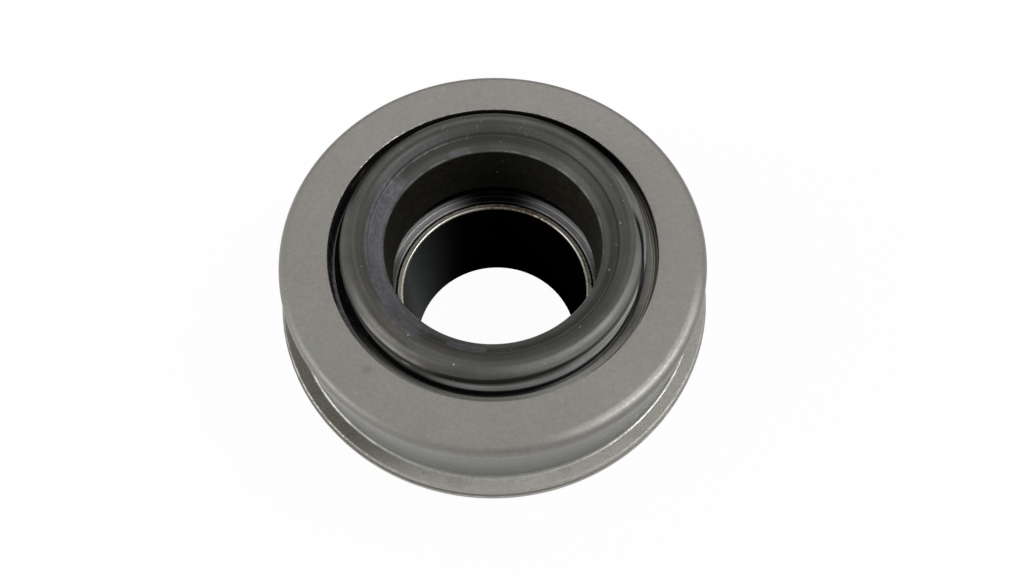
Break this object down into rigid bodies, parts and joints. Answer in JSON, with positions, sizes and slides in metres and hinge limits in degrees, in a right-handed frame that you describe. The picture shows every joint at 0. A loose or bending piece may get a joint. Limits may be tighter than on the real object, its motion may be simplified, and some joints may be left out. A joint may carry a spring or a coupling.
{
  "type": "clutch release bearing",
  "caption": "Clutch release bearing: drawn steel cover with a small outward flange, turning thrust nose with a rounded crest, and a hub tube with a lined bore that slides on a guide tube.",
  "frame": {"origin": "centre of the hub tube's rear end, on the turning axis", "axes": "+Z along the turning axis, from the gearbox to the clutch; X and Y are free, the part is round"},
  "size_m": [0.0764, 0.0764, 0.0458],
  "materials": {
    "cover_steel": "matte phosphated sheet steel, light warm grey",
    "hub_steel": "turned steel, satin",
    "liner": "dark sliding layer over bronze on a steel back",
    "black_steel": "hardened, blackened and ground steel with an oil film",
    "race_steel": "ground bearing steel",
    "ball_steel": "polished bearing steel",
    "cage_plastic": "moulded polyamide, natural brown",
    "seal_rubber": "moulded black rubber with a film of grease"
  },
  "bodies": {
    "housing": {"cover_shell": "cover_steel", "carrier_hub": "hub_steel", "liner_bush": "liner", "outer_race": "race_steel", "front_seal": "seal_rubber", "rear_seal": "seal_rubber"},
    "nose": {"nose_ring": "black_steel"},
    "cage": {"ball_cage": "cage_plastic", "ball_01": "ball_steel", "ball_02": "ball_steel", "ball_03": "ball_steel", "ball_04": "ball_steel", "ball_05": "ball_steel", "ball_06": "ball_steel", "ball_07": "ball_steel", "ball_08": "ball_steel", "ball_09": "ball_steel", "ball_10": "ball_steel", "ball_11": "ball_steel", "ball_12": "ball_steel", "ball_13": "ball_steel", "ball_14": "ball_steel", "ball_15": "ball_steel", "ball_16": "ball_steel"}
  },
  "joints": [
    {"name": "nose_spin", "type": "hinge", "parent": "housing", "child": "nose", "pos_m": [0, 0, 0.03367], "axis": [0, 0, 1], "continuous": true},
    {"name": "cage_spin", "type": "hinge", "parent": "housing", "child": "cage", "pos_m": [0, 0, 0.03367], "axis": [0, 0, 1], "continuous": true}
  ],
  "couplings": [
    {"joint": "cage_spin", "follows": "nose_spin", "ratio": 0.4398}
  ]
}
